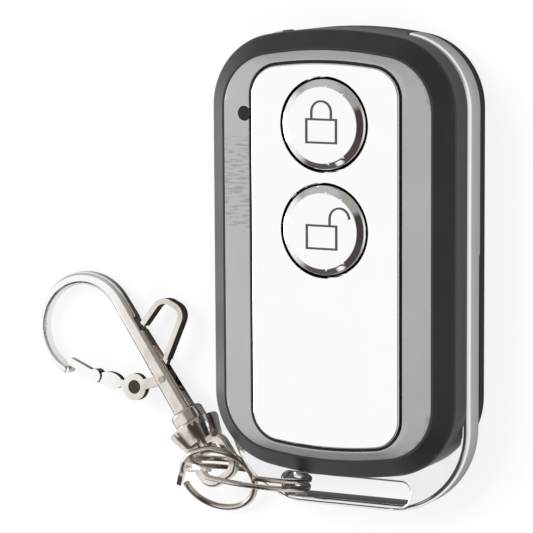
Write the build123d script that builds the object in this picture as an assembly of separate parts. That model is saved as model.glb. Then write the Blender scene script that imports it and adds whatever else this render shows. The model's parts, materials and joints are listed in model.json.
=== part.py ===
from build123d import *
from math import atan2, cos, degrees, radians, sin, sqrt
import os

# Wireless two-button remote control with a split ring, a key ring and a swivel clasp.
# Millimetres. It lies on its flat back: +Z out of the face, +Y to the top end, origin on the back.

# The cell lies across the lower half, so the body's width follows its length
BATTERY_D = 7.8
BATTERY_L = 28.2
BATTERY_ROOM = 3.0  # wall, contact and spring beside each end of the cell

# Body outline, measured across the crease between side wall and chamfer
BODY_W = BATTERY_L + 2 * BATTERY_ROOM
BODY_L = 57.8
BODY_END = BODY_L / 2
BODY_CORNER = 9.5
END_CROWN = 52.0  # radius of the bowed top and bottom ends
WALL = 1.1  # wall of the chrome frame beside the housing
SKIRT = 0.8  # wall of the housing behind the frame
FIT = 0.1  # gap between pieces that are fitted and then never move

# Layers from the back to the face
REAR_DEPTH = 2.0
FRAME_DEPTH = 4.4
SIDE_DEPTH = 3.6
CHAMFER_DEPTH = 1.9
CHAMFER_W = 2.3
TRIM_LAND = 0.3  # narrow ledge between chamfer and trim ring
TOP_PLATE = 1.1
PANEL_T = 1.2
REAR_FLOOR = 1.4
REAR_EDGE_R = 0.7
Z_FRAME = REAR_DEPTH
Z_SIDE = Z_FRAME + FRAME_DEPTH
Z_CREASE = Z_SIDE + SIDE_DEPTH
Z_EDGE = Z_CREASE + CHAMFER_DEPTH
PANEL_RISE = 0.6  # panel above the housing's top edge
Z_PANEL = Z_EDGE + PANEL_RISE
Z_SEAT = Z_PANEL - PANEL_T
Z_CEILING = Z_SEAT - TOP_PLATE
TRIM_RISE = 0.4  # inner edge of the trim ring above its outer edge

# Polished panel and the dark groove round it
PANEL_SIDE = 6.75  # body edge to panel edge
PANEL_END = 4.2
PANEL_W = BODY_W - 2 * PANEL_SIDE
PANEL_L = BODY_L - 2 * PANEL_END
PANEL_CORNER = 3.9
GROOVE = 0.38

# Chrome frame, open at the top end, with the loop for the ring at the bottom
FRAME_PROUD = 0.25
FRAME_EDGE_R = 0.9
FRAME_GAP = 18.0  # width of the opening at the top end
FRAME_CLEAR = 0.35  # notch that shows at each end of the frame
BAIL_REACH = 4.85  # how far the loop stands out of the body
BAIL_CORNER = 11.4
BAIL_LIFT = 1.0  # the loop is thinner than the frame, from below
BAR = 1.05  # loop's outer bar
BAIL_ROUND = 0.4
SLOT_SIDE = 7.7  # body side to slot end
SLOT_W = BODY_W - 2 * SLOT_SIDE
SLOT_H = 2.95
SLOT_SLANT = 0.7
SLOT_CORNER = 1.1
BAIL_END = -BODY_END - BAIL_REACH
TONGUE_W = 8.0
TONGUE_L = 4.6
TONGUE_T = 1.6

# Buttons
BUTTON_D = 12.0
BUTTON_FACE_D = 9.2
BUTTON_RISE = 0.8
BUTTON_TOP_Y = BODY_END - 12.0
BUTTON_PITCH = 13.5
BUTTON_CLEAR = 0.15
BUTTON_TRAVEL = 0.35
FLANGE_W = 0.7
FLANGE_T = 0.7
STEM_D = 3.4
PRESS_GAP = 0.05  # between faces that press on each other
ICON_LINE = 0.26
ICON_RISE = 0.1
ICON_W = 4.4
ICON_H = 3.2

# Circuit board and what is on it
BOARD_T = 1.0
BOARD_TOP_Z = 5.9
BOARD_SIDE = 2.9  # body side to board edge
BOARD_W = BODY_W - 2 * BOARD_SIDE
BOARD_Y1 = BODY_END - 6.5
SWITCH_W = 6.0
SWITCH_H = 2.4
SWITCH_PLUNGER_D = 2.9
PLUNGER_SINK = 1.0
PLUNGER_PROUD = 0.6
LED_X = 5.65 - BODY_W / 2
LED_Y = BUTTON_TOP_Y + 1.1
LED_D = 1.7
CHIP_L = 4.9
CHIP_W = 3.9
CHIP_T = 1.5
LEAD_PITCH = 1.27
LEAD_T = 0.25
CHIP_AT = (-6.5, BUTTON_TOP_Y - BUTTON_PITCH - 1.4)
RESONATOR_W = 5.0
RESONATOR_T = 1.4
RESONATOR_AT = (5.5, CHIP_AT[1])
TRANSISTOR_AT = (0.4, CHIP_AT[1] + 6.5)
SMALL_PART = (1.6, 0.8, 0.5)
SMALL_PITCH = 3.0
SMALL_ROWS = (-5.2, 4.6, 10.6)  # from the encoder chip's middle
ANTENNA_D = 0.8
ANTENNA_W = 14.6
ANTENNA_L = 9.0
ANTENNA_DROP = 1.7

# Battery, across the lower half
NUB_D = 3.4
NUB_L = 0.9
BATTERY_IN = 11.9  # bottom end to the battery's middle
BATTERY_Y = BATTERY_IN - BODY_END
BOARD_FREE = 5.1  # battery to board edge
BOARD_Y0 = BATTERY_Y + BATTERY_D / 2 + BOARD_FREE
BATTERY_SHIFT = 0.15
CONTACT_T = 0.3
CONTACT_W = 6.0
CONTACT_LAP = 1.6  # over the board's edge

# Screws
SCREW_D = 1.6
SCREW_HEAD_D = 3.0
SCREW_HEAD_T = 0.9
SCREW_SINK = 0.35
CROSS_L = 1.9
CROSS_W = 0.45
REAR_SCREW_L = 7.0
PAD_RISE = 1.0
BOSS_D = 3.6
SIDE_SCREW_X = BODY_W / 2 - 4.7
SIDE_SCREW_Y = BOARD_Y0 - 2.3
TOP_SCREW_X = 9.0
TOP_SCREW_Y = BODY_END - 6.3
BAIL_SCREW_Y = 4.4 - BODY_END
BOARD_SCREW_X = 9.6
BOARD_SCREW_L = 5.0
POST_D = 3.2

# Split ring, standing in the loop's slot
SPLIT_OD = 17.0
SPLIT_RADIAL = 1.15
SPLIT_AXIAL = 0.62
SPLIT_GAP = 0.42
CHAIN_X = -SLOT_W / 2
SPLIT_CENTRE = (CHAIN_X - 3.75, BAIL_END + 3.8, SPLIT_OD / 2 + 0.05)
SPLIT_TURN = -6.0  # degrees about Z
SPLIT_LEAN = 8.0  # degrees, its top towards the body
SPLIT_CUT = 105.0  # where the near strand's end shows
SPLIT_CROSS = 45.0  # angle over which the wire changes sides

# Small key ring, leaning over the swivel
LINK_R = 5.1
LINK_WIRE = 0.9
LINK_CENTRE = (CHAIN_X - 10.5, BAIL_END + 1.65, 3.97)
LINK_NORMAL = (0.094, -0.488, 0.868)
LINK_TAIL_L = 2.6
LINK_TAIL_W = 1.6
LINK_TAIL_TILT = -8.0
LINK_OPEN_AT = 168.0  # where the ring's flat tail leaves it
LINK_OPEN = 26.0

# Clasp: the swivel axis runs from the eye up the shank
CLASP_ORIGIN = (CHAIN_X - 15.2, BAIL_END + 9.75, 3.65)
CLASP_HEADING = 127.0  # degrees from +X
CLASP_DIP = 5.0  # degrees, the hook's end lies lower
HOOK_SHANK = 19.0
HOOK_INNER = 5.95
HOOK_SWEEP = 212.0
HOOK_W = 2.2
HOOK_T = 2.0
HOOK_TIP_W = 1.05
HOOK_TAPER = 140.0  # degrees over which the hook narrows to its tip's width
HOOK_R = HOOK_INNER + HOOK_W / 2
SHANK_W = 3.0
SHANK_T = 2.8
SHANK_THICK_TO = 11.5
MIDDLE_W = 2.5
MIDDLE_T = 2.3
NECK_D = 1.9
RIVET_D = 2.6
RIVET_T = 0.6
RIVET_DROP = 0.3  # below the eye's bridge
SWIVEL_CLEAR = 0.1
BARREL_TOP = -1.5
CAP_D = 4.6
CAP_GAP = 0.15  # between the collar and the barrel
CAP_FROM = BARREL_TOP + CAP_GAP
CAP_TO = 0.8
BARREL_D = 7.1
BARREL_L = 2.7
BARREL_FOOT_D = 5.6
BARREL_RIM = 0.4
EYE_BRIDGE = 0.6
EYE_HOLE_L = 4.45
EYE_HOLE_W = 4.2
EYE_HOLE_CORNER = 1.1
EYE_BAR = 1.1
EYE_CORNER = 2.3
EYE_EDGE_R = 0.5
EYE_T = 1.5
EYE_ROLL = 4.0  # degrees, turn of the eye about the swivel axis

# Gate lever of the clasp
PIVOT_A = 6.0
PIN_D = 0.9
LEVER_T = 0.95
LEVER_CLEAR = 0.12
LEVER_HUB_D = 2.5
GATE_HUB = (7.75, 4.75)
GATE_HUB_D = 3.7
GATE_HOLE_D = 1.9
GATE_KNOT = (12.4, 9.2)
GATE_END = (16.2, 11.5)
GATE_KNOT_D = 1.9
GATE_KNOT_T = 1.5
GATE_RIVET_PROUD = 0.1
ARM_W = 1.0
SPOON_L = 3.8
SPOON_W = 2.2
THUMB_W = 1.5
THUMB_STRIP = 0.75
THUMB_TIP = (11.9, -7.9)
THUMB_TOP = (15.3, -6.0)
THUMB_END = (13.95, -1.4)
NOTCH_AT = (14.4, -1.2)  # where the thumb loop's end tucks into the shank
NOTCH_L = 2.2
NOTCH_W = 0.8
SLOT_FROM = 3.2
SLOT_TO = 10.6
GATE_SPRING_T = 0.25


# Placing and plain shapes

def slab(face, z0, z1):
    return extrude(Pos(0, 0, z0) * face, z1 - z0)


def block(x0, x1, y0, y1, z0, z1):
    return Pos((x0 + x1) / 2, (y0 + y1) / 2, (z0 + z1) / 2) * Box(x1 - x0, y1 - y0, z1 - z0)


def rod(x, y, d, z0, z1):
    return Pos(x, y, (z0 + z1) / 2) * Cylinder(d / 2, z1 - z0)


def bowed(width, length, corner, crown):
    half_w = width / 2
    half_l = length / 2
    shoulder = half_l - (crown - sqrt(crown**2 - half_w**2))
    top = ThreePointArc((half_w, shoulder), (0, half_l), (-half_w, shoulder))
    bottom = ThreePointArc((-half_w, -shoulder), (0, -half_l), (half_w, -shoulder))
    right = Line((half_w, -shoulder), (half_w, shoulder))
    left = Line((-half_w, shoulder), (-half_w, -shoulder))
    face = make_face([*right.edges(), *top.edges(), *left.edges(), *bottom.edges()])
    return fillet(face.vertices(), corner)


def body_plan(inset):
    return bowed(BODY_W - 2 * inset, BODY_L - 2 * inset, BODY_CORNER - inset, END_CROWN - inset)


def panel_plan(grow):
    return bowed(PANEL_W + 2 * grow, PANEL_L + 2 * grow, PANEL_CORNER + grow, END_CROWN)


SKIRT_OUT = WALL + FIT
CAVITY = SKIRT_OUT + SKIRT
TRIM_OUT = CHAMFER_W + TRIM_LAND
BUTTONS = {"lock": BUTTON_TOP_Y, "unlock": BUTTON_TOP_Y - BUTTON_PITCH}
Z_FLANGE = Z_CEILING - PRESS_GAP - FLANGE_T
Z_STEM = BOARD_TOP_Z + SWITCH_H + PLUNGER_PROUD
REAR_SCREWS = [(side * x, y) for x, y in ((TOP_SCREW_X, TOP_SCREW_Y), (SIDE_SCREW_X, SIDE_SCREW_Y))
               for side in (-1, 1)]
Z_PAD = REAR_FLOOR + PAD_RISE
Z_TONGUE = Z_FRAME + BAIL_LIFT
BOARD_SCREW_Y = BUTTON_TOP_Y - BUTTON_PITCH / 2


# Casing

def front_housing():
    shell = slab(body_plan(0), Z_SIDE, Z_CREASE)
    shell += loft([Pos(0, 0, Z_CREASE) * body_plan(0), Pos(0, 0, Z_EDGE) * body_plan(CHAMFER_W)])
    shell += slab(body_plan(SKIRT_OUT), Z_FRAME, Z_SIDE)
    half_gap = FRAME_GAP / 2 - FRAME_CLEAR
    top_block = slab(body_plan(0), Z_FRAME, Z_SIDE)
    shell += top_block & block(-half_gap, half_gap, BODY_L / 4, BODY_L, Z_FRAME, Z_SIDE)
    shell -= slab(body_plan(CAVITY), Z_FRAME, Z_CEILING)
    shell -= slab(body_plan(TRIM_OUT - FIT / 2), Z_SEAT, Z_PANEL)
    for x, y in REAR_SCREWS:
        shell += rod(x, y, BOSS_D, Z_PAD, Z_CEILING)
        shell -= rod(x, y, SCREW_D - 2 * FIT, Z_PAD, Z_PAD + REAR_SCREW_L - PAD_RISE)
    for x in (-BOARD_SCREW_X, BOARD_SCREW_X):
        shell += rod(x, BOARD_SCREW_Y, POST_D, BOARD_TOP_Z, Z_CEILING)
        shell -= rod(x, BOARD_SCREW_Y, SCREW_D - 2 * FIT, BOARD_TOP_Z, BOARD_TOP_Z + BOARD_SCREW_L)
    for y in BUTTONS.values():
        shell -= rod(0, y, BUTTON_D + 2 * BUTTON_CLEAR, Z_CEILING, Z_SEAT)
    shell -= rod(LED_X, LED_Y, LED_D + 2 * FIT, Z_CEILING, Z_SEAT)
    half_tongue = TONGUE_W / 2 + FIT
    shell -= block(-half_tongue, half_tongue, -BODY_END, WALL + TONGUE_L + FIT - BODY_END, Z_FRAME,
                   Z_TONGUE + TONGUE_T + FIT)
    screw_end = SCREW_SINK + REAR_SCREW_L + FIT
    shell += rod(0, BAIL_SCREW_Y, BOSS_D, Z_TONGUE + TONGUE_T, Z_CEILING)
    return shell - rod(0, BAIL_SCREW_Y, SCREW_D - 2 * FIT, Z_TONGUE + TONGUE_T, screw_end)


def rear_cover():
    cover = slab(body_plan(0), 0, REAR_DEPTH)
    cover = fillet(cover.faces().sort_by(Axis.Z)[0].edges(), REAR_EDGE_R)
    cover -= slab(body_plan(CAVITY + FIT), REAR_FLOOR, REAR_DEPTH)
    lip = slab(body_plan(CAVITY + FIT), REAR_FLOOR, REAR_DEPTH + REAR_FLOOR)
    lip -= slab(body_plan(CAVITY + FIT + SKIRT), REAR_FLOOR, REAR_DEPTH + REAR_FLOOR)
    half_tongue = TONGUE_W / 2 + SKIRT
    lip -= block(-half_tongue, half_tongue, -BODY_END, 0, REAR_DEPTH, REAR_DEPTH + REAR_FLOOR)
    for x, y in REAR_SCREWS:
        lip -= rod(x, y, BOSS_D + 2 * FIT, REAR_FLOOR, REAR_DEPTH + REAR_FLOOR)
    for side in (-1, 1):
        lip -= block(side * BODY_W / 2 - BODY_W / 4, side * BODY_W / 2 + BODY_W / 4,
                     BATTERY_Y - CONTACT_W / 2 - FIT, BOARD_Y0 + CONTACT_W / 2, REAR_DEPTH,
                     REAR_DEPTH + REAR_FLOOR)
    cover += lip
    for x, y in REAR_SCREWS:
        cover += rod(x, y, BOSS_D, REAR_FLOOR, Z_PAD - FIT)
    cover += rod(0, BAIL_SCREW_Y, BOSS_D + 1, REAR_FLOOR, Z_TONGUE - FIT)
    cradle_z = REAR_FLOOR + BATTERY_D / 4
    for x in (-BATTERY_L / 4, BATTERY_L / 4):
        cover += block(x - SKIRT, x + SKIRT, BATTERY_Y - BATTERY_D / 2, BATTERY_Y + BATTERY_D / 2,
                       REAR_FLOOR, cradle_z)
    cover -= battery_place() * Cylinder(BATTERY_D / 2 + FIT, BATTERY_L)
    for x, y in [*REAR_SCREWS, (0, BAIL_SCREW_Y)]:
        cover -= rod(x, y, SCREW_HEAD_D + 2 * FIT, 0, SCREW_SINK + SCREW_HEAD_T)
        cover -= rod(x, y, SCREW_D + 2 * FIT, 0, Z_TONGUE)
    return cover


def bail_plan(inset):
    width = BODY_W + 2 * FRAME_PROUD - 2 * inset
    length = BODY_END + BAIL_REACH - inset
    flat = Pos(0, -length / 2) * Rectangle(width, length)
    return fillet(flat.vertices().group_by(Axis.Y)[0], BAIL_CORNER - inset)


def slot_plan():
    y0 = BAIL_END + BAR
    foot = SLOT_W / 2 - SLOT_SLANT
    corners = [(-SLOT_W / 2, y0 + SLOT_H), (SLOT_W / 2, y0 + SLOT_H), (foot, y0), (-foot, y0)]
    face = make_face(Polyline(*corners, close=True).edges())
    return fillet(face.vertices(), SLOT_CORNER)


def chrome_frame():
    frame = slab(body_plan(-FRAME_PROUD), Z_FRAME, Z_SIDE) + slab(bail_plan(0), Z_FRAME, Z_SIDE)
    half_gap = FRAME_GAP / 2
    frame -= block(-half_gap, half_gap, 0, BODY_L, Z_FRAME, Z_SIDE)
    under = slab(bail_plan(-1), Z_FRAME - 1, Z_FRAME + BAIL_LIFT)
    frame -= under - slab(body_plan(-FIT), Z_FRAME - 1, Z_SIDE)
    rim = frame.faces().filter_by(Plane.XY).sort_by(Axis.Z)
    outer = [edge for face in (rim[-1], rim[0]) for edge in face.outer_wire().edges()
             if abs(edge.center().Y) < BODY_END and abs(edge.center().X) > half_gap]
    frame = fillet(outer, FRAME_EDGE_R)
    frame -= slab(body_plan(WALL), Z_FRAME, Z_SIDE)
    slot = slab(slot_plan(), Z_FRAME, Z_SIDE)
    frame -= slot
    rounding = [edge for edge in frame.edges().group_by(Axis.Z)[-1]
                if edge.center().Y < -BODY_END]
    frame = fillet(rounding, BAIL_ROUND)
    tongue = block(-TONGUE_W / 2, TONGUE_W / 2, -BODY_END + WALL / 2, WALL + TONGUE_L - BODY_END,
                   Z_TONGUE, Z_TONGUE + TONGUE_T)
    tongue += rod(0, BAIL_SCREW_Y, TONGUE_W * 0.7, Z_TONGUE, Z_TONGUE + TONGUE_T)
    frame += tongue
    return frame - rod(0, BAIL_SCREW_Y, SCREW_D + 2 * FIT, Z_TONGUE, Z_TONGUE + TONGUE_T)


def trim_ring():
    outer = body_plan(TRIM_OUT)
    top = Pos(0, 0, Z_EDGE + TRIM_RISE) * panel_plan(GROOVE + TRIM_LAND / 2)
    ring = slab(outer, Z_SEAT, Z_EDGE) + loft([Pos(0, 0, Z_EDGE) * outer, top])
    ring -= slab(panel_plan(GROOVE), Z_SEAT, Z_PANEL)
    return ring - rod(LED_X, LED_Y, LED_D + 2 * FIT, Z_SEAT, Z_PANEL)


def face_plate():
    plate = slab(panel_plan(0), Z_SEAT, Z_PANEL)
    plate = fillet(plate.faces().sort_by(Axis.Z)[-1].edges(), 0.25)
    for y in BUTTONS.values():
        plate -= rod(0, y, BUTTON_D + 2 * BUTTON_CLEAR, Z_SEAT, Z_PANEL)
    return plate


# Buttons

def closed_icon():
    body = Rectangle(ICON_W, ICON_H) - Rectangle(ICON_W - 2 * ICON_LINE, ICON_H - 2 * ICON_LINE)
    outer_r = ICON_W * 0.34
    shackle = Circle(outer_r) - Circle(outer_r - ICON_LINE)
    shackle &= Pos(0, outer_r / 2) * Rectangle(2 * outer_r, outer_r)
    legs = Pos(0, -outer_r * 0.3) * (Rectangle(2 * outer_r, outer_r * 0.6)
                                     - Rectangle(2 * (outer_r - ICON_LINE), outer_r * 0.6))
    return body + Pos(0, ICON_H / 2 + outer_r * 0.55) * (shackle + legs)


def open_icon():
    body = Rectangle(ICON_W, ICON_H) - Rectangle(ICON_W - 2 * ICON_LINE, ICON_H - 2 * ICON_LINE)
    outer_r = ICON_W * 0.34
    shackle = Circle(outer_r) - Circle(outer_r - ICON_LINE)
    shackle &= Pos(0, outer_r / 2) * Rectangle(2 * outer_r, outer_r)
    leg = Pos(-outer_r + ICON_LINE / 2, -outer_r * 0.3) * Rectangle(ICON_LINE, outer_r * 0.6)
    return body + Pos(ICON_W * 0.4 + outer_r * 0.5, ICON_H / 2 + outer_r * 0.55) * (shackle + leg)


def button(y, icon, drop):
    top_z = Z_PANEL + BUTTON_RISE
    cap = rod(0, y, BUTTON_D, Z_FLANGE, Z_PANEL)
    cone = Pos(0, y, Z_PANEL + BUTTON_RISE / 2) * Cone(BUTTON_D / 2, BUTTON_FACE_D / 2, BUTTON_RISE)
    flange = rod(0, y, BUTTON_D + 2 * FLANGE_W, Z_FLANGE, Z_FLANGE + FLANGE_T)
    stem = rod(0, y, STEM_D, Z_STEM + PRESS_GAP, Z_FLANGE)
    mark = slab(Pos(0, y + drop) * icon, top_z, top_z + ICON_RISE)
    return cap + cone + flange + stem + mark


# Electronics

def circuit_board():
    corner_cut = body_plan(CAVITY + 2 * FIT)
    board = Pos(0, (BOARD_Y0 + BOARD_Y1) / 2) * RectangleRounded(BOARD_W, BOARD_Y1 - BOARD_Y0, 0.8)
    board &= corner_cut
    board = slab(board, BOARD_TOP_Z - BOARD_T, BOARD_TOP_Z)
    for x, y in REAR_SCREWS:
        board -= rod(x, y, BOSS_D + 4 * FIT, 0, Z_PANEL)
    for x in (-BOARD_SCREW_X, BOARD_SCREW_X):
        board -= rod(x, BOARD_SCREW_Y, SCREW_D + 2 * FIT, 0, Z_PANEL)
    return board


def switch(y):
    body = block(-SWITCH_W / 2, SWITCH_W / 2, y - SWITCH_W / 2, y + SWITCH_W / 2, BOARD_TOP_Z,
                 BOARD_TOP_Z + SWITCH_H)
    body = chamfer(body.edges().filter_by(Axis.Z), 0.4)
    well = BOARD_TOP_Z + SWITCH_H - PLUNGER_SINK - BUTTON_TRAVEL - PRESS_GAP
    body -= rod(0, y, SWITCH_PLUNGER_D + 2 * FIT, well, Z_PANEL)
    foot = CONTACT_T
    for sx in (-1, 1):
        for sy in (-1, 1):
            x = sx * (SWITCH_W / 2 + 0.4)
            body += block(x - 0.5, x + 0.5, y + sy * 2 - foot, y + sy * 2 + foot, BOARD_TOP_Z,
                          BOARD_TOP_Z + foot)
    return body


def plunger(y):
    return rod(0, y, SWITCH_PLUNGER_D, BOARD_TOP_Z + SWITCH_H - PLUNGER_SINK, Z_STEM)


def led_lens():
    pipe = rod(LED_X, LED_Y, LED_D, BOARD_TOP_Z + 1.4, Z_EDGE + TRIM_RISE * 0.6)
    return pipe + rod(LED_X, LED_Y, LED_D + 1.0, Z_CEILING - 0.8, Z_CEILING)


def status_led():
    led = block(LED_X - 1.0, LED_X + 1.0, LED_Y - 0.6, LED_Y + 0.6, BOARD_TOP_Z, BOARD_TOP_Z + 0.7)
    return led + rod(LED_X, LED_Y, 1.0, BOARD_TOP_Z + 0.7, BOARD_TOP_Z + 1.1)


BOARD_UNDER = BOARD_TOP_Z - BOARD_T


def encoder_chip():
    x, y = CHIP_AT
    chip = block(x - CHIP_W / 2, x + CHIP_W / 2, y - CHIP_L / 2, y + CHIP_L / 2,
                 BOARD_UNDER - CHIP_T, BOARD_UNDER - FIT)
    for i in range(4):
        lead_y = y + (i - 1.5) * LEAD_PITCH
        chip += block(x - CHIP_W / 2 - 1, x + CHIP_W / 2 + 1, lead_y - 0.2, lead_y + 0.2,
                      BOARD_UNDER - LEAD_T, BOARD_UNDER)
    return chip


def saw_resonator():
    x, y = RESONATOR_AT
    can = Pos(x, y) * RectangleRounded(RESONATOR_W, RESONATOR_W, 0.6)
    return slab(can, BOARD_UNDER - RESONATOR_T, BOARD_UNDER)


def rf_transistor():
    x, y = TRANSISTOR_AT
    body = block(x - 1.45, x + 1.45, y - 0.65, y + 0.65, BOARD_UNDER - 1.1, BOARD_UNDER - FIT)
    for px, side in ((-0.95, -1), (0.95, -1), (0, 1)):
        body += block(x + px - 0.2, x + px + 0.2, y + side * 0.9 - 0.4, y + side * 0.9 + 0.4,
                      BOARD_UNDER - LEAD_T, BOARD_UNDER)
    return body


def small_parts():
    size_x, size_y, size_z = SMALL_PART
    spots = [((i - 1.5) * SMALL_PITCH, CHIP_AT[1] + row) for row in SMALL_ROWS for i in range(4)]
    return Compound([block(x - size_x / 2, x + size_x / 2, y - size_y / 2, y + size_y / 2,
                           BOARD_UNDER - size_z, BOARD_UNDER) for x, y in spots])


def antenna_loop():
    half = ANTENNA_W / 2
    y0 = BOARD_Y1 - 2.2
    low = BOARD_UNDER - ANTENNA_DROP
    points = [(-half, y0, BOARD_UNDER), (-half, y0, low), (-half, y0 - ANTENNA_L, low),
              (half, y0 - ANTENNA_L, low), (half, y0, low), (half, y0, BOARD_UNDER)]
    path = FilletPolyline(*points, radius=ANTENNA_D)
    return sweep(Plane(points[0], z_dir=(0, 0, -1)) * Circle(ANTENNA_D / 2), path=path)


# Battery and its contacts

Z_BATTERY = REAR_FLOOR + BATTERY_D / 2 + FIT + 0.1


def battery_place():
    return Pos(BATTERY_SHIFT, BATTERY_Y, Z_BATTERY) * Rot(0, 90, 0)


def battery():
    can = Cylinder(BATTERY_D / 2, BATTERY_L - NUB_L)
    can = fillet(can.edges(), 0.5)
    nub = Pos(0, 0, (BATTERY_L - NUB_L) / 2 + NUB_L / 2) * Cylinder(NUB_D / 2, NUB_L)
    return battery_place() * Pos(0, 0, -NUB_L / 2) * (can + nub)


def contact(side):
    wall = side * (BODY_W / 2 - CAVITY - FIT)
    face = wall - side * CONTACT_T
    x0, x1 = sorted((wall, face))
    tab_y = BOARD_Y0 + CONTACT_LAP
    half = CONTACT_W / 2
    piece = block(x0, x1, BATTERY_Y - half, BATTERY_Y + half, Z_BATTERY - half, Z_BATTERY + half)
    piece += block(x0, x1, BATTERY_Y, tab_y, BOARD_TOP_Z, BOARD_TOP_Z + 1.2)
    t0, t1 = sorted((wall, wall - side * 2.2))
    return piece + block(t0, t1, BOARD_Y0 + 0.2, tab_y, BOARD_TOP_Z, BOARD_TOP_Z + CONTACT_T)


def plus_contact():
    return contact(1)


def minus_contact():
    wall = BODY_W / 2 - CAVITY - FIT
    battery_end = BATTERY_L / 2 - BATTERY_SHIFT
    room = wall - CONTACT_T - battery_end
    half = CONTACT_W / 3
    points = [(0, half), (room - FIT / 2, CONTACT_T), (room - FIT / 2, -CONTACT_T), (0, -half),
              (0, -half + CONTACT_T), (room - CONTACT_T - FIT / 2, 0), (0, half - CONTACT_T)]
    leaf = make_face(Polyline(*points, close=True).edges())
    leaf = slab(leaf, Z_BATTERY - NUB_D / 2, Z_BATTERY + NUB_D / 2)
    return contact(-1) + Pos(-wall + CONTACT_T, BATTERY_Y, 0) * leaf


# Screws

def screw(x, y, head_z, length):
    head = rod(x, y, SCREW_HEAD_D, head_z, head_z + SCREW_HEAD_T)
    head = fillet(head.edges().group_by(Axis.Z)[0], 0.3)
    for angle in (0, 90):
        head -= Pos(x, y, head_z) * Rot(0, 0, angle) * Box(CROSS_L, CROSS_W, SCREW_HEAD_T)
    return head + rod(x, y, SCREW_D - 4 * FIT, head_z + SCREW_HEAD_T, head_z + length)


def rear_screws():
    return Compound([screw(x, y, SCREW_SINK, REAR_SCREW_L) for x, y in [*REAR_SCREWS, (0, BAIL_SCREW_Y)]])


def board_screws():
    under = BOARD_UNDER - SCREW_HEAD_T
    return Compound([screw(x, BOARD_SCREW_Y, under, BOARD_SCREW_L)
                     for x in (-BOARD_SCREW_X, BOARD_SCREW_X)])


# Rings

def split_place():
    return Pos(*SPLIT_CENTRE) * Rot(0, 0, SPLIT_TURN) * Rot(90 - SPLIT_LEAN, 0, 0)


def split_section(angle, height):
    radius = (SPLIT_OD - SPLIT_RADIAL) / 2
    centre = (radius * cos(radians(angle)), radius * sin(radians(angle)), height)
    along = (-sin(radians(angle)), cos(radians(angle)), 0)
    across = (cos(radians(angle)), sin(radians(angle)), 0)
    return Plane(centre, x_dir=across, z_dir=along) * RectangleRounded(SPLIT_RADIAL, SPLIT_AXIAL, 0.2)


def split_ring():
    half = (SPLIT_AXIAL + SPLIT_GAP) / 2
    turn = 360 - SPLIT_CROSS
    cut = SPLIT_CUT
    near = revolve(split_section(cut - turn, half), Axis.Z, turn)
    far = revolve(split_section(cut, -half), Axis.Z, turn)
    steps = 8
    sections = []
    for i in range(steps + 1):
        share = i / steps
        rise = half - 2 * half * share * share * (3 - 2 * share)
        sections.append(split_section(cut + SPLIT_CROSS - SPLIT_CROSS * share, rise))
    crossing = loft(sections, ruled=True)
    print("split ring: gap between its turns", round(SPLIT_GAP, 2))
    return split_place() * (near + crossing + far)


def link_place():
    return Plane(LINK_CENTRE, x_dir=(1, 0, -LINK_NORMAL[0] / LINK_NORMAL[2]), z_dir=LINK_NORMAL).location


def link_ring():
    ring = Rot(0, 0, LINK_OPEN_AT + LINK_OPEN) * Torus(LINK_R, LINK_WIRE / 2, major_angle=360 - LINK_OPEN)
    tail = Box(LINK_WIRE * 0.7, LINK_TAIL_L, LINK_TAIL_W)
    tail = Rot(0, 0, LINK_TAIL_TILT) * fillet(tail.edges().filter_by(Axis.X), 0.5)
    tail = Pos(LINK_R + 0.2, LINK_TAIL_L / 2, 0) * tail
    return link_place() * (ring + Rot(0, 0, LINK_OPEN_AT) * tail)


# Clasp, in its own frame: X up the shank, Y to the hook's side, Z up

def clasp_frame(roll=0.0):
    return (Pos(*CLASP_ORIGIN) * Rot(0, 0, CLASP_HEADING) * Rot(0, CLASP_DIP, 0) * Rot(roll, 0, 0))


def straight(d, a0, a1):
    return Pos((a0 + a1) / 2, 0, 0) * Rot(0, 90, 0) * Cylinder(d / 2, a1 - a0)


def tapered(d0, d1, a0, a1):
    return Pos((a0 + a1) / 2, 0, 0) * Rot(0, 90, 0) * Cone(d0 / 2, d1 / 2, a1 - a0)


def across(a, width, thick):
    return Plane((a, 0, 0), x_dir=(0, 1, 0), z_dir=(1, 0, 0)) * RectangleRounded(width, thick, thick * 0.42)


def hook_section(share):
    turn = HOOK_SWEEP * share
    width = HOOK_W + (HOOK_TIP_W - HOOK_W) * min(turn / HOOK_TAPER, 1)
    radius = HOOK_INNER + width / 2
    out_x = cos(radians(turn - 90))
    out_y = sin(radians(turn - 90))
    place = Plane((HOOK_SHANK + radius * out_x, HOOK_R + radius * out_y, 0), x_dir=(-out_x, -out_y, 0),
                  z_dir=(-out_y, out_x, 0))
    return place * RectangleRounded(width, HOOK_T, width * 0.36)


def crook():
    steps = 12
    return loft([hook_section(i / steps) for i in range(steps + 1)])


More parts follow.
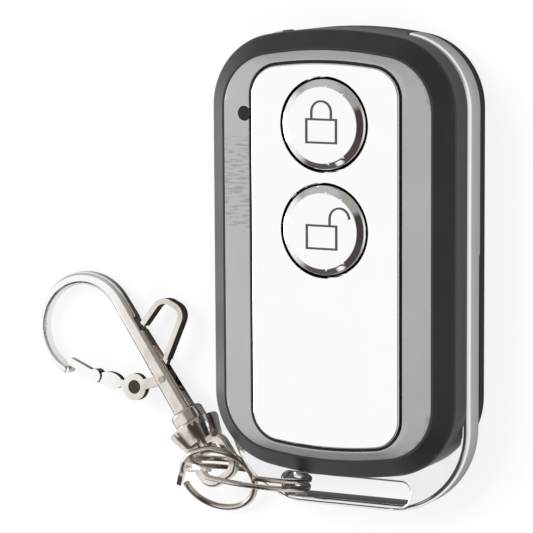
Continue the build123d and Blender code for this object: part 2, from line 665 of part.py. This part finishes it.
def clasp_hook():
    middle = across(SHANK_THICK_TO, MIDDLE_W, MIDDLE_T)
    shank = loft([across(CAP_TO - FIT, SHANK_W, SHANK_T), middle])
    shank += loft([middle, hook_section(0)])
    shank += crook()
    tip = hook_section(1).center()
    shank += Pos(tip.X, tip.Y, 0) * Cylinder(HOOK_TIP_W * 0.45, HOOK_T * 0.8)
    shank -= Pos(*NOTCH_AT, 0) * Box(NOTCH_L, NOTCH_W, 2 * SHANK_T)
    cap = fillet(straight(CAP_D, CAP_FROM, CAP_TO).edges(), 0.45)
    rivet_top = BARREL_TOP - BARREL_L - EYE_BRIDGE - RIVET_DROP
    neck = straight(NECK_D, rivet_top - RIVET_T / 2, CAP_FROM + FIT)
    rivet = straight(RIVET_D, rivet_top - RIVET_T, rivet_top)
    rivet = fillet(rivet.edges().group_by(Axis.X)[0], 0.25)
    hook = shank + cap + neck + rivet
    slot_w = LEVER_T + 2 * LEVER_CLEAR
    hook -= Pos((SLOT_FROM + SLOT_TO) / 2, 0, 0) * Box(SLOT_TO - SLOT_FROM, 2 * SHANK_W, slot_w)
    hook -= Pos(PIVOT_A, 0, 0) * Cylinder(PIN_D / 2, 2 * SHANK_T)
    return clasp_frame() * hook


def plate(face, thick):
    return slab(face, -thick / 2, thick / 2)


def bar_between(start, end, width):
    dx = end[0] - start[0]
    dy = end[1] - start[1]
    length = sqrt(dx * dx + dy * dy)
    middle = Pos((start[0] + end[0]) / 2, (start[1] + end[1]) / 2)
    return middle * Rot(0, 0, degrees(atan2(dy, dx))) * SlotCenterToCenter(length, width)


def thumb_loop():
    points = [(PIVOT_A + 1.2, -0.1), THUMB_TIP, THUMB_TOP, THUMB_END]
    path = FilletPolyline(*points, radius=[1.5, 1.9])
    heading = (points[1][0] - points[0][0], points[1][1] - points[0][1], 0)
    section = Plane(points[0], x_dir=(0, 0, 1), z_dir=heading)
    wide = sweep(section * Rectangle(THUMB_W, THUMB_STRIP), path=path)
    root = Pos(PIVOT_A, 0, 0) * Box(4 * SHANK_W, SHANK_W + 2 * LEVER_CLEAR + 0.6, 2 * SHANK_T)
    slim = Pos(PIVOT_A, 0, 0) * Box(8 * SHANK_W, 8 * SHANK_W, LEVER_T)
    return (wide - root) + (wide & slim)


def clasp_gate():
    hub = Pos(PIVOT_A, 0) * Circle(LEVER_HUB_D / 2)
    link = bar_between((PIVOT_A, 0), GATE_HUB, ARM_W + 0.4)
    ring_plate = Pos(*GATE_HUB) * Circle(GATE_HUB_D / 2)
    arm = bar_between(GATE_HUB, GATE_KNOT, ARM_W) + bar_between(GATE_KNOT, GATE_END, ARM_W)
    spoon_at = ((GATE_HUB[0] + GATE_KNOT[0]) / 2 + 0.5, (GATE_HUB[1] + GATE_KNOT[1]) / 2 + 0.5)
    heading = degrees(atan2(GATE_KNOT[1] - GATE_HUB[1], GATE_KNOT[0] - GATE_HUB[0]))
    spoon = Pos(*spoon_at) * Rot(0, 0, heading) * Ellipse(SPOON_L / 2, SPOON_W / 2)
    lever = plate(hub + link + ring_plate + arm + spoon, LEVER_T)
    lever += Pos(*GATE_KNOT, 0) * Cylinder(GATE_KNOT_D / 2, GATE_KNOT_T)
    lever += thumb_loop()
    lever -= Pos(*GATE_HUB, 0) * Cylinder(GATE_HOLE_D / 2, 2 * LEVER_T)
    lever -= Pos(PIVOT_A, 0, 0) * Cylinder(PIN_D / 2 + 0.05, 2 * LEVER_T)
    return clasp_frame() * lever


def gate_rivet():
    return (clasp_frame() * Pos(*GATE_HUB, 0)
            * Cylinder(GATE_HOLE_D / 2 - FIT / 2, LEVER_T + 2 * GATE_RIVET_PROUD))


def gate_pin():
    return clasp_frame() * Pos(PIVOT_A, 0, 0) * Cylinder(PIN_D / 2, SHANK_T)


def gate_spring():
    a0 = SLOT_FROM + 0.05
    a1 = PIVOT_A - LEVER_HUB_D / 2 - 0.12
    t = GATE_SPRING_T
    points = [(a0, -1.0), (a1, 0.9), (a1, 1.2), (a1 - t, 1.2), (a0, -0.3)]
    leaf = make_face(Polyline(*points, close=True).edges())
    return clasp_frame() * plate(leaf, LEVER_T)


def swivel_eye():
    barrel_foot = BARREL_TOP - BARREL_L
    barrel = tapered(BARREL_FOOT_D, BARREL_D, barrel_foot, BARREL_TOP - BARREL_RIM)
    barrel += straight(BARREL_D, BARREL_TOP - BARREL_RIM, BARREL_TOP)
    hole_end = barrel_foot - EYE_BRIDGE - EYE_HOLE_L
    outer_w = EYE_HOLE_W + 2 * EYE_BAR
    eye_len = EYE_HOLE_L + EYE_BRIDGE + EYE_BAR + 0.6
    outline = Pos(hole_end - EYE_BAR + eye_len / 2, 0) * RectangleRounded(eye_len, outer_w, EYE_CORNER)
    hole = Pos(hole_end + EYE_HOLE_L / 2, 0) * RectangleRounded(EYE_HOLE_L, EYE_HOLE_W, EYE_HOLE_CORNER)
    eye = plate(outline, EYE_T)
    eye = fillet(eye.faces().sort_by(Axis.Z)[-1].edges() + eye.faces().sort_by(Axis.Z)[0].edges(), EYE_EDGE_R)
    eye += barrel
    eye -= plate(hole, 3 * EYE_T)
    eye -= straight(NECK_D + 2 * SWIVEL_CLEAR, hole_end + EYE_HOLE_L / 2, BARREL_TOP)
    return clasp_frame(EYE_ROLL) * eye


PIECES = {
    "front_housing": front_housing(),
    "rear_cover": rear_cover(),
    "chrome_frame": chrome_frame(),
    "trim_ring": trim_ring(),
    "face_plate": face_plate(),
    "lock_button": button(BUTTONS["lock"], closed_icon(), -0.75),
    "unlock_button": button(BUTTONS["unlock"], open_icon(), -0.75),
    "circuit_board": circuit_board(),
    "lock_switch": switch(BUTTONS["lock"]),
    "unlock_switch": switch(BUTTONS["unlock"]),
    "lock_plunger": plunger(BUTTONS["lock"]),
    "unlock_plunger": plunger(BUTTONS["unlock"]),
    "led_lens": led_lens(),
    "status_led": status_led(),
    "encoder_chip": encoder_chip(),
    "saw_resonator": saw_resonator(),
    "rf_transistor": rf_transistor(),
    "small_parts": small_parts(),
    "antenna_loop": antenna_loop(),
    "battery": battery(),
    "battery_plus_contact": plus_contact(),
    "battery_minus_contact": minus_contact(),
    "rear_screws": rear_screws(),
    "board_screws": board_screws(),
    "split_ring": split_ring(),
    "link_ring": link_ring(),
    "swivel_eye": swivel_eye(),
    "clasp_hook": clasp_hook(),
    "clasp_gate": clasp_gate(),
    "gate_rivet": gate_rivet(),
    "gate_pin": gate_pin(),
    "gate_spring": gate_spring(),
}

os.makedirs("parts", exist_ok=True)
for name, shape in PIECES.items():
    export_step(shape, f"parts/{name}.step")
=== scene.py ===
import json
import math

import bmesh
import bpy
from mathutils import Matrix, Vector


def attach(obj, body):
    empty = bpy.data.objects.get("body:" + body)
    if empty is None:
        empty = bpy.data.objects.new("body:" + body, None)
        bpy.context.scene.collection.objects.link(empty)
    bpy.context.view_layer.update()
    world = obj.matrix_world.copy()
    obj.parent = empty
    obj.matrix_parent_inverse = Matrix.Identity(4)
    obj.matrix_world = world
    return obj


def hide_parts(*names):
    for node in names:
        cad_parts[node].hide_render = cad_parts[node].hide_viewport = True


# Wireless remote with a split ring, key ring and swivel clasp. Metres, same frame as the solids.

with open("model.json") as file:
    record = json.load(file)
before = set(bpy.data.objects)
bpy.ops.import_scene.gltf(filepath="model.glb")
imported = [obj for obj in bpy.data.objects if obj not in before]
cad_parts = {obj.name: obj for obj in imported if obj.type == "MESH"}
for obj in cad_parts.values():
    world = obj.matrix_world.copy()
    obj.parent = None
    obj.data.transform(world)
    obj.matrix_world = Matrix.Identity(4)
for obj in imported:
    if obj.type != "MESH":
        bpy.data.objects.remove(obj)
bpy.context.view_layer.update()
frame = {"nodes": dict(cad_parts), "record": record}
mm = 0.001
print("frame loaded")


# shader helpers

white = (1.0, 1.0, 1.0, 1.0)


class Wire:  # an output socket that takes part in sums
    def __init__(self, sheet, socket):
        self.sheet = sheet
        self.socket = socket

    def join(self, operation, first, second=0.0):
        return self.sheet.add("ShaderNodeMath", {"operation": operation}, {0: first, 1: second})

    def __add__(self, other):
        return self.join("ADD", self, other)

    def __radd__(self, other):
        return self.join("ADD", other, self)

    def __sub__(self, other):
        return self.join("SUBTRACT", self, other)

    def __rsub__(self, other):
        return self.join("SUBTRACT", other, self)

    def __mul__(self, other):
        return self.join("MULTIPLY", self, other)

    def __rmul__(self, other):
        return self.join("MULTIPLY", other, self)

    def absolute(self):
        return self.join("ABSOLUTE", self)

    def aboveZero(self):
        return self.join("MAXIMUM", self)

    def root(self):
        return self.join("SQRT", self)


class Sheet:  # one node tree under construction
    def __init__(self, owner):
        owner.use_nodes = True
        self.tree = owner.node_tree
        self.tree.nodes.clear()

    def add(self, kind, settings, links, output=0):
        node = self.tree.nodes.new(kind)
        for key, value in settings.items():
            setattr(node, key, value)
        for key, value in links.items():
            if isinstance(value, Wire):
                self.tree.links.new(value.socket, node.inputs[key])
            else:
                node.inputs[key].default_value = value
        return Wire(self, node.outputs[output]) if node.outputs else None

    def place(self):
        return self.add("ShaderNodeTexCoord", {}, {}, "Object")

    def mapped(self, scale, turn):
        return self.add("ShaderNodeMapping", {}, {"Vector": self.place(), "Scale": scale, "Rotation": turn})

    def axis(self, letter):
        return self.add("ShaderNodeSeparateXYZ", {}, {0: self.place()}, letter)

    def noise(self, scale, detail, rough, vector=None):
        links = {"Vector": vector or self.place(), "Scale": scale, "Detail": detail, "Roughness": rough}
        return self.add("ShaderNodeTexNoise", {}, links, "Fac")

    def ramp(self, wire, low, high, first=0.0, last=1.0):
        return self.add("ShaderNodeMapRange", {}, {0: wire, 1: low, 2: high, 3: first, 4: last})

    def tint(self, factor, one, two):
        return self.add("ShaderNodeMix", {"data_type": "RGBA"}, {0: factor, 6: one, 7: two}, 2)

    def ray(self, kind):
        return self.add("ShaderNodeLightPath", {}, {}, kind)

    def near(self, direction, card):  # 1 inside a cone about a direction, 0 past its soft rim
        aim = Vector(card["toward"]).normalized()
        settings = {"operation": "DOT_PRODUCT"}
        facing = self.add("ShaderNodeVectorMath", settings, {0: direction, 1: aim}, "Value")
        return self.ramp(facing, math.cos(math.radians(card["outer"])), math.cos(math.radians(card["inner"])))


def rgba(color):
    return (color[0], color[1], color[2], 1.0)


def grey(level):
    return (level, level, level, 1.0)


# finishes: base colour, a second colour that broad noise mixes in, roughness range and fine grain
# patch and grain are the scales of the two noises, per metre

plain = {"metal": 0.0, "coat": 0.0, "bump": 0.0, "patch": 180.0, "grain": 4000.0}
broadNoise = {"detail": 4.0, "rough": 0.55, "from": 0.35, "to": 0.7}
fineNoise = {"detail": 2.0, "rough": 0.6}
roughMix = {"broad": 0.6, "fine": 0.4, "from": 0.3, "to": 0.7}
coatRoughness = 0.05
bumpDepth = 0.02 * mm
trimMarks = {
    "color": (0.16, 0.16, 0.16), "strength": 0.45,
    "lines": 3600.0, "stretch": (0.11, 1.0, 1.0), "turn": (0.0, 0.0, 0.30),
    "detail": 2.0, "rough": 0.5, "thin": 0.50, "full": 0.60,
    "fades": [("X", -10.2, -10.7), ("Y", 1.5, 4.5), ("Y", 15.5, 14.0)],  # axis, none and full, in mm
}


def slantedDarkLines(sheet, color, marks):  # fine dark slanted lines across one stretch of the left side
    place = sheet.mapped(marks["stretch"], marks["turn"])
    lines = sheet.noise(marks["lines"], marks["detail"], marks["rough"], place)
    mask = sheet.ramp(lines, marks["thin"], marks["full"])
    for letter, none, full in marks["fades"]:
        mask = mask * sheet.ramp(sheet.axis(letter), none * mm, full * mm)
    return sheet.tint(mask * marks["strength"], color, rgba(marks["color"]))


def finish(name, settings):
    look = {**plain, **settings}
    material = bpy.data.materials.new(name)
    sheet = Sheet(material)
    broad = sheet.noise(look["patch"], broadNoise["detail"], broadNoise["rough"])
    fine = sheet.noise(look["grain"], fineNoise["detail"], fineNoise["rough"])
    color = rgba(look["color"])
    if "second" in look:
        mask = sheet.ramp(broad, broadNoise["from"], broadNoise["to"])
        color = sheet.tint(mask, color, rgba(look["second"]))
    if "marks" in look:
        color = slantedDarkLines(sheet, color, look["marks"])
    # painted highlight: the base colour turns near white towards the clasp's left end, where light blows it
    # out
    if "polished" in look:
        highlightLook = look["polished"]
        highlightMask = sheet.ramp(sheet.axis("X"), highlightLook["from"] * mm, highlightLook["to"] * mm)
        color = sheet.tint(highlightMask, color, rgba(highlightLook["color"]))
    mixed = broad * roughMix["broad"] + fine * roughMix["fine"]
    links = {
        "Base Color": color,
        "Roughness": sheet.ramp(mixed, roughMix["from"], roughMix["to"], *look["rough"]),
        "Metallic": look["metal"],
        "Coat Weight": look["coat"],
        "Coat Roughness": coatRoughness,
    }
    if "ior" in look:
        links["IOR"] = look["ior"]
    if look["bump"]:
        relief = {"Height": fine, "Strength": look["bump"], "Distance": bumpDepth}
        links["Normal"] = sheet.add("ShaderNodeBump", {}, relief)
    shader = sheet.add("ShaderNodeBsdfPrincipled", {}, links)
    sheet.add("ShaderNodeOutputMaterial", {}, {0: shader})
    return material


finishes = {
    "charcoal": finish("charcoalShell", {
        "color": (0.011, 0.0105, 0.011), "second": (0.015, 0.0145, 0.015),
        "rough": (0.34, 0.42), "grain": 9000.0, "bump": 0.2, "ior": 1.5}),
    "blackBack": finish("blackBack", {
        "color": (0.010, 0.010, 0.011), "second": (0.014, 0.014, 0.015),
        "rough": (0.5, 0.62), "grain": 7000.0, "bump": 0.6}),
    "chrome": finish("chromeBand", {
        "color": (0.86, 0.86, 0.87), "second": (0.82, 0.82, 0.83), "metal": 1.0,
        "rough": (0.04, 0.09), "patch": 300.0}),
    "trim": finish("silverTrim", {
        "color": (0.43, 0.43, 0.45), "second": (0.41, 0.41, 0.43), "metal": 0.75, "marks": trimMarks,
        "rough": (0.32, 0.40), "patch": 90.0, "grain": 12000.0, "bump": 0.15}),
    # painted shade: the raised padlock lines on the chrome buttons are a dull dark grey instead of mirroring
    "mark": finish("iconShadeGrey", {
        "color": (0.045, 0.045, 0.048), "rough": (0.4, 0.5)}),
    "darkSteel": finish("darkSteel", {
        "color": (0.045, 0.035, 0.03), "second": (0.03, 0.025, 0.02), "metal": 0.6,
        "rough": (0.35, 0.5)}),
    "mirror": finish("mirrorPanel", {
        "color": (0.97, 0.97, 0.975), "second": (0.955, 0.955, 0.96), "metal": 1.0,
        "rough": (0.02, 0.05), "patch": 120.0}),
    "button": finish("buttonChrome", {
        "color": (0.96, 0.96, 0.965), "second": (0.94, 0.94, 0.95), "metal": 1.0,
        "rough": (0.03, 0.06), "patch": 200.0}),
    "lens": finish("smokedLens", {
        "color": (0.006, 0.005, 0.005), "rough": (0.1, 0.16), "ior": 1.4}),
    "nickel": finish("wornNickel", {
        "color": (0.80, 0.76, 0.71), "second": (0.62, 0.56, 0.50), "metal": 1.0,
        # painted highlight on the clasp's left end
        "polished": {"from": -31.0, "to": -38.0, "color": (0.95, 0.94, 0.92)},
        "rough": (0.10, 0.22), "patch": 420.0, "grain": 5000.0, "bump": 0.12}),
    # painted shade for the gate's side walls, standing in for the dark they mirror
    "shadedSide": finish("shadedSide", {
        "color": (0.42, 0.37, 0.33), "second": (0.28, 0.24, 0.21), "metal": 1.0,
        "rough": (0.16, 0.30), "patch": 420.0}),
    "ringSteel": finish("ringSteel", {
        "color": (0.66, 0.61, 0.57), "second": (0.52, 0.46, 0.41), "metal": 1.0,
        "rough": (0.08, 0.18), "patch": 500.0}),
    "screwSteel": finish("screwSteel", {
        "color": (0.5, 0.5, 0.5), "second": (0.36, 0.35, 0.34), "metal": 1.0,
        "rough": (0.2, 0.35), "patch": 600.0}),
    "board": finish("boardMask", {
        "color": (0.02, 0.16, 0.06), "second": (0.03, 0.20, 0.08),
        "rough": (0.25, 0.35), "patch": 900.0, "coat": 0.4}),
    "blackPart": finish("blackPart", {
        "color": (0.02, 0.02, 0.021), "rough": (0.4, 0.5), "bump": 0.3}),
    "whitePart": finish("whitePart", {
        "color": (0.75, 0.74, 0.7), "rough": (0.35, 0.45)}),
    "redLens": finish("redLens", {
        "color": (0.45, 0.03, 0.02), "rough": (0.1, 0.2), "coat": 0.8}),
    "ceramic": finish("chipCeramic", {
        "color": (0.36, 0.30, 0.20), "second": (0.12, 0.11, 0.1),
        "rough": (0.35, 0.5), "patch": 900.0}),
    "copper": finish("copperWire", {
        "color": (0.78, 0.42, 0.26), "second": (0.7, 0.36, 0.22), "metal": 1.0,
        "rough": (0.2, 0.3)}),
    "brass": finish("contactPlate", {
        "color": (0.72, 0.66, 0.5), "second": (0.6, 0.55, 0.42), "metal": 1.0,
        "rough": (0.22, 0.35)}),
    "sleeve": finish("batterySleeve", {
        "color": (0.14, 0.16, 0.2), "second": (0.12, 0.14, 0.17), "metal": 0.4,
        "rough": (0.25, 0.35), "coat": 0.5}),
}
print("finishes made")


# dressed copies of the solids: merged, smoothed, and with small rounded edges where they catch light

bodyOf = {}
for bodyName, members in frame["record"]["behaviour"]["bodies"].items():
    for member in members:
        bodyOf[member] = bodyName

usual = {"merge": 0.2, "smooth": 40, "segments": 2, "from": 35}  # angles in degrees
doubles = 0.001 * mm
crest = {  # in mm, and the bend in radians
    "level": 10.0, "within": 0.02, "outside": (13.5, 25.0), "bend": 0.2, "wide": 0.9, "segments": 5,
}
coverings = {  # edges, levels and widths in mm
    "front_housing": {"name": "frontHousing", "finish": "charcoal", "smooth": 14, "merge": 0.03,
                      "crest": crest},
    "rear_cover": {"name": "rearCover", "finish": "blackBack", "smooth": 30},
    "chrome_frame": {"name": "chromeFrame", "finish": "chrome"},
    "trim_ring": {"name": "trimRing", "finish": "trim", "smooth": 30, "edge": 0.1, "from": 12, "merge": 0.03},
    "face_plate": {"name": "facePlate", "finish": "mirror"},
    "lock_button": {"name": "lockButton", "finish": "button", "smooth": 28, "iconShadeAbove": 13.32},
    "unlock_button": {"name": "unlockButton", "finish": "button", "smooth": 28, "iconShadeAbove": 13.32},
    "led_lens": {"name": "lightLens", "finish": "lens"},
    "split_ring": {"name": "splitRing", "finish": "ringSteel"},
    "link_ring": {"name": "linkRing", "finish": "ringSteel"},
    "swivel_eye": {"name": "swivelEye", "finish": "nickel"},
    "clasp_hook": {"name": "claspHook", "finish": "nickel"},
    "clasp_gate": {"name": "claspGate", "finish": "nickel", "edge": 0.14, "segments": 3, "shadedSideBelow": 0.3},
    "gate_rivet": {"name": "gateRivet", "finish": "darkSteel"},
    "gate_pin": {"name": "gatePin", "finish": "screwSteel"},
    "rear_screws": {"name": "rearScrews", "finish": "screwSteel"},
}


def alone(piece):
    bpy.ops.object.select_all(action="DESELECT")
    piece.select_set(True)
    bpy.context.view_layer.objects.active = piece


def applied(piece, kind, **settings):
    alone(piece)
    modifier = piece.modifiers.new(kind.lower(), kind)
    for key, value in settings.items():
        setattr(modifier, key, value)
    bpy.ops.object.modifier_apply(modifier=modifier.name)


def settle(piece, node, material):
    piece.data.materials.clear()
    piece.data.materials.append(material)
    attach(piece, bodyOf[node])


def roundCrest(piece, line):  # softens the line between the shoulder and the side wall
    bpy.ops.object.mode_set(mode="EDIT")
    bpy.ops.mesh.select_mode(type="EDGE")
    bpy.ops.mesh.select_all(action="DESELECT")
    mesh = bmesh.from_edit_mesh(piece.data)
    for edge in mesh.edges:
        middle = (edge.verts[0].co + edge.verts[1].co) / 2 / mm
        outside = abs(middle.x) > line["outside"][0] or abs(middle.y) > line["outside"][1]
        level = max(abs(vertex.co.z / mm - line["level"]) for vertex in edge.verts) < line["within"]
        edge.select = outside and level and edge.calc_face_angle(0) > line["bend"]
    bmesh.update_edit_mesh(piece.data)
    bpy.ops.mesh.bevel(offset=line["wide"] * mm, segments=line["segments"], clamp_overlap=True)
    bpy.ops.object.mode_set(mode="OBJECT")


def paint(piece, kind, faces):  # a second finish on some of the faces
    piece.data.materials.append(finishes[kind])
    for face in faces:
        face.material_index = 1


def dressed(node, settings):
    look = {**usual, **settings}
    piece = bpy.data.objects.new(look["name"], frame["nodes"][node].data.copy())
    bpy.context.scene.collection.objects.link(piece)
    alone(piece)
    bpy.ops.object.mode_set(mode="EDIT")
    bpy.ops.mesh.select_all(action="SELECT")
    bpy.ops.mesh.remove_doubles(threshold=doubles)
    bpy.ops.mesh.dissolve_limited(angle_limit=math.radians(look["merge"]))
    bpy.ops.object.mode_set(mode="OBJECT")
    if "crest" in look:
        roundCrest(piece, look["crest"])
    if "edge" in look:
        applied(piece, "BEVEL", width=look["edge"] * mm, segments=look["segments"], limit_method="ANGLE",
                angle_limit=math.radians(look["from"]), use_clamp_overlap=True, harden_normals=False)
    alone(piece)
    bpy.ops.object.shade_smooth_by_angle(angle=math.radians(look["smooth"]))
    applied(piece, "WEIGHTED_NORMAL", keep_sharp=True, weight=100)
    settle(piece, node, finishes[look["finish"]])
    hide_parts(node)
    faces = piece.data.polygons
    # painted shade on the raised icon lines, the faces above the given height
    if "iconShadeAbove" in look:
        paint(piece, "mark", [face for face in faces if face.center.z > look["iconShadeAbove"] * mm])
    if "shadedSideBelow" in look:  # painted shade: side walls, told by how little they face up or down, get a darker brown finish
        paint(piece, "shadedSide", [face for face in faces if abs(face.normal.z) < look["shadedSideBelow"]])


for node, look in coverings.items():
    dressed(node, look)
print("shown solids dressed")


# inner solids stay as they are and only get their finishes

insideFinish = {
    "circuit_board": "board", "lock_switch": "blackPart", "unlock_switch": "blackPart",
    "lock_plunger": "whitePart", "unlock_plunger": "whitePart", "status_led": "redLens",
    "encoder_chip": "blackPart", "saw_resonator": "screwSteel", "rf_transistor": "blackPart",
    "small_parts": "ceramic", "antenna_loop": "copper", "battery": "sleeve",
    "battery_plus_contact": "brass", "battery_minus_contact": "brass", "board_screws": "screwSteel",
    "gate_spring": "screwSteel",
}
for node, kind in insideFinish.items():
    for slot in frame["nodes"][node].material_slots:
        slot.material = finishes[kind]
print("inner solids finished")


# floor: cameras see it white, it keeps the shadow, and in mirrors it shows painted shade under the remote and
# the clasp

floorLook = {
    "size": 8.0, "drop": 0.02 * mm, "color": (0.8, 0.8, 0.8), "glow": 0.82, "shade": 0.06,
    "patches": [
        {"middle": (0.0, -2.2), "half": (7.5, 21.5), "from": 7.5, "to": 18.5},
        {"middle": (-31.0, -15.5), "half": (7.0, 9.0), "from": 0.0, "to": 10.0},
    ],
}


def floorShade(sheet, patch):  # painted shade mask: 0 on a rectangle of the floor, 1 well outside it
    outside = []
    for letter, middle, half in zip("XY", patch["middle"], patch["half"]):
        past = ((sheet.axis(letter) - middle * mm).absolute() - half * mm).aboveZero()
        outside.append(past * past)
    distance = (outside[0] + outside[1]).root()
    return sheet.ramp(distance, patch["from"] * mm, patch["to"] * mm)


def makeFloor(look):
    bpy.ops.object.select_all(action="DESELECT")
    bpy.ops.mesh.primitive_plane_add(size=look["size"], location=(0, 0, -look["drop"]))
    floor = bpy.context.object
    floor.name = "studioFloor"
    material = bpy.data.materials.new("paleFloor")
    sheet = Sheet(material)
    direct = sheet.ray("Is Camera Ray")
    mirrored = sheet.ray("Is Glossy Ray")
    through = sheet.ray("Is Transmission Ray")
    underRemote, underClasp = [floorShade(sheet, patch) for patch in look["patches"]]
    # painted shade: mirrored, the floor turns dark grey on the rectangles under the remote and the clasp
    mirroredWithShade = sheet.tint(underRemote * underClasp, grey(look["shade"]), white)
    seen = sheet.tint(direct, mirroredWithShade, white)
    lit = sheet.add("ShaderNodeBsdfDiffuse", {}, {"Color": rgba(look["color"])})
    glowing = sheet.add("ShaderNodeEmission", {}, {"Color": seen, "Strength": 1.0})
    share = direct * look["glow"] + mirrored + through
    mixed = sheet.add("ShaderNodeMixShader", {}, {0: share, 1: lit, 2: glowing})
    sheet.add("ShaderNodeOutputMaterial", {}, {0: mixed})
    floor.data.materials.append(material)


makeFloor(floorLook)
print("floor laid")


# room: white to cameras, plain light on dull surfaces, and soft dark and light cards in what metal mirrors

roomLook = {
    "light": 0.5, "walls": (0.37, 0.35, 0.33),
    "cards": [  # direction, cone angles in degrees, colour
        {"toward": (0.56, -0.10, 0.82), "inner": 22, "outer": 30, "shade": (0.06, 0.05, 0.045)},
        {"toward": (0.17, -0.75, 0.64), "inner": 26, "outer": 34, "shade": (0.075, 0.06, 0.055)},
        {"toward": (-0.44, -0.83, 0.34), "inner": 16, "outer": 26, "shade": (0.10, 0.085, 0.08)},
        {"toward": (-0.44, 0.70, 0.57), "inner": 20, "outer": 32, "shade": (0.50, 0.50, 0.50)},
        {"toward": (-0.04, -0.84, 0.54), "inner": 3, "outer": 7, "shade": (0.9, 0.9, 0.9)},
        {"toward": (-0.93, -0.10, 0.22), "inner": 22, "outer": 36, "shade": (0.95, 0.95, 0.95)},
        {"toward": (0.97, -0.10, 0.10), "inner": 14, "outer": 40, "shade": (0.8, 0.8, 0.8)},
        {"toward": (-0.44, -0.13, 0.89), "inner": 25, "outer": 36, "shade": (1.0, 1.0, 1.0)},
    ],
}


def makeRoom(look):
    world = bpy.data.worlds.new("studioRoom")
    bpy.context.scene.world = world
    sheet = Sheet(world)
    direction = sheet.add("ShaderNodeTexCoord", {}, {}, "Generated")
    mirrored = sheet.ray("Is Glossy Ray") + sheet.ray("Is Transmission Ray")
    walls = rgba(look["walls"])
    for card in look["cards"]:
        walls = sheet.tint(sheet.near(direction, card), walls, rgba(card["shade"]))
    unseen = sheet.tint(mirrored, grey(look["light"]), walls)
    shown = sheet.tint(sheet.ray("Is Camera Ray"), unseen, white)
    background = sheet.add("ShaderNodeBackground", {}, {"Color": shown, "Strength": 1.0})
    sheet.add("ShaderNodeOutputWorld", {}, {0: background})


makeRoom(roomLook)
print("room made")


# soft lamps aimed at the origin, of which only the low one on the left shows in metal

lampLooks = [
    {"at": (-0.35, 0.30, 0.60), "size": 0.45, "power": 5.0, "glossy": False},
    {"at": (0.45, -0.30, 0.55), "size": 0.40, "power": 2.5, "glossy": False},
    {"at": (-0.50, -0.05, 0.06), "size": 0.20, "power": 1.1, "glossy": True},
]


def makeLamp(number, look):
    data = bpy.data.lights.new(f"softLamp{number}", "AREA")
    data.size = look["size"]
    data.energy = look["power"]
    holder = bpy.data.objects.new(data.name, data)
    bpy.context.scene.collection.objects.link(holder)
    holder.location = look["at"]
    holder.visible_glossy = look["glossy"]
    holder.rotation_euler = Vector(look["at"]).to_track_quat("Z", "Y").to_euler()


for number, look in enumerate(lampLooks):
    makeLamp(number, look)
print("lamps hung")


# camera: fitted to the outlines of the body, trim, panel, frame and buttons

cameraView = {"yaw": 26.631, "pitch": 7.647, "roll": -0.359, "distance": 366.96 * mm,
              "target": (-11.488 * mm, -2.608 * mm, 6.0 * mm), "focalPixels": 2795.5, "imagePixels": 533,
              "sensor": 36.0, "nearest": 0.01, "farthest": 20.0}


def makeCamera(view):
    yaw, pitch, roll = (math.radians(view[key]) for key in ("yaw", "pitch", "roll"))
    back = Vector((math.sin(yaw) * math.cos(pitch), math.sin(pitch), math.cos(yaw) * math.cos(pitch)))
    side = Vector((0, 1, 0)).cross(back).normalized()
    up = back.cross(side)
    right = math.cos(roll) * side + math.sin(roll) * up
    top = math.cos(roll) * up - math.sin(roll) * side
    data = bpy.data.cameras.new("photoCamera")
    data.sensor_width = view["sensor"]
    data.lens = view["focalPixels"] * view["sensor"] / view["imagePixels"]
    data.clip_start = view["nearest"]
    data.clip_end = view["farthest"]
    holder = bpy.data.objects.new("photoCamera", data)
    bpy.context.scene.collection.objects.link(holder)
    turned = Matrix((right, top, back)).transposed().to_4x4()
    turned.translation = Vector(view["target"]) + back * view["distance"]
    holder.matrix_world = turned
    bpy.context.scene.camera = holder


makeCamera(cameraView)
bpy.context.scene.view_settings.view_transform = "Standard"
print("camera set")
